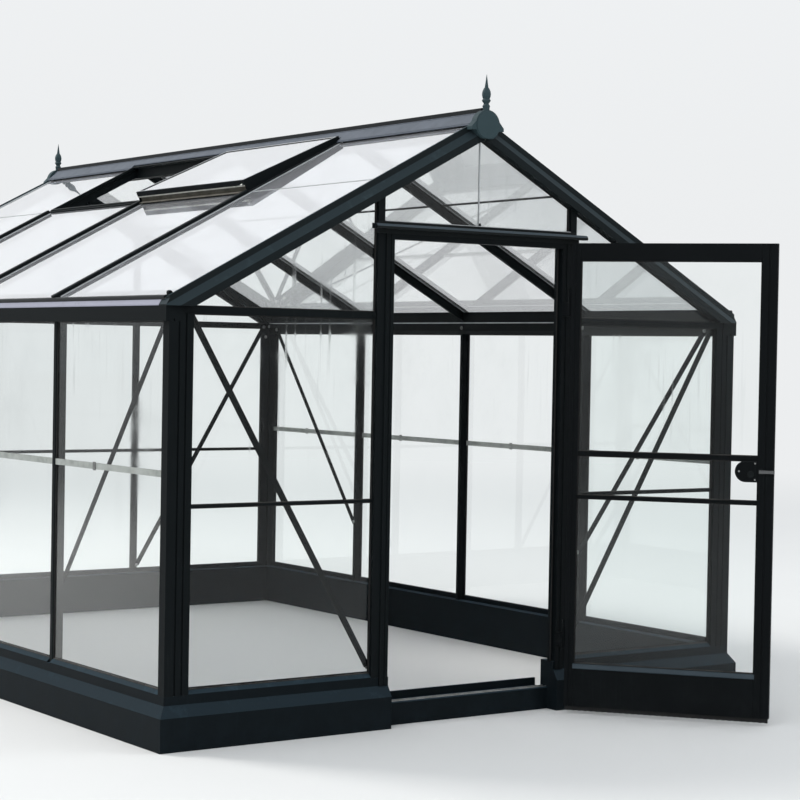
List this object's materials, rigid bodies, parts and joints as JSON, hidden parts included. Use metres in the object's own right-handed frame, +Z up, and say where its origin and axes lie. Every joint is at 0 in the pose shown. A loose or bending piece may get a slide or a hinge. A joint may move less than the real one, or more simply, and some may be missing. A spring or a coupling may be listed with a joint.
{
  "type": "glass greenhouse",
  "caption": "Free-standing aluminium greenhouse with clear glass walls, a pitched glass roof with one raised vent and one open vent frame, ridge finials and a hinged glazed door.",
  "frame": {"origin": "middle of the door threshold's underside, on the ground", "axes": "+Z up; +Y from the door gable to the rear gable, along the ridge; +X to the right, seen facing the door"},
  "size_m": [3.16, 5.0681, 2.842],
  "materials": {
    "frame": "satin",
    "base": "satin",
    "ridge": "satin",
    "castings": "satin",
    "door_frame": "satin",
    "bare_aluminium": "satin",
    "steel": "brushed",
    "glass": "gloss"
  },
  "bodies": {
    "building": {"base_left": "base", "base_right": "base", "base_rear": "base", "base_front_left": "base", "base_front_right": "base", "door_threshold": "base", "corner_posts": "frame", "side_studs": "frame", "eave_left": "frame", "eave_right": "frame", "rafter_front_left": "frame", "rafter_front_right": "frame", "rafter_rear_left": "frame", "rafter_rear_right": "frame", "roof_bars": "frame", "ridge_beam": "frame", "ridge_cap": "ridge", "ridge_end_front": "castings", "ridge_end_rear": "castings", "gable_rails": "frame", "gable_studs": "frame", "door_jambs": "frame", "door_head": "frame", "door_drip_cap": "frame", "side_glazing_joints": "bare_aluminium", "gable_glazing_joints": "frame", "gable_braces": "frame", "side_braces": "frame", "vent_sills": "frame", "vent_sash": "frame", "vent_sash_glass": "glass", "glass_left": "glass", "glass_right": "glass", "glass_front": "glass", "glass_rear": "glass", "glass_roof_left": "glass", "glass_roof_right": "glass", "hinges_fixed": "castings"},
    "door": {"door_hinge_stile": "door_frame", "door_lock_stile": "door_frame", "door_top_rail": "door_frame", "door_bottom_rail": "door_frame", "door_glazing_bars": "door_frame", "door_lock_case": "castings", "door_handles": "steel", "glass_door": "glass", "hinges_moving": "castings"}
  },
  "joints": [
    {"name": "door_hinge", "type": "hinge", "parent": "building", "child": "door", "pos_m": [0.466, -0.1515, 0.3], "axis": [0, 0, 1], "range_deg": [-128, 47]}
  ]
}
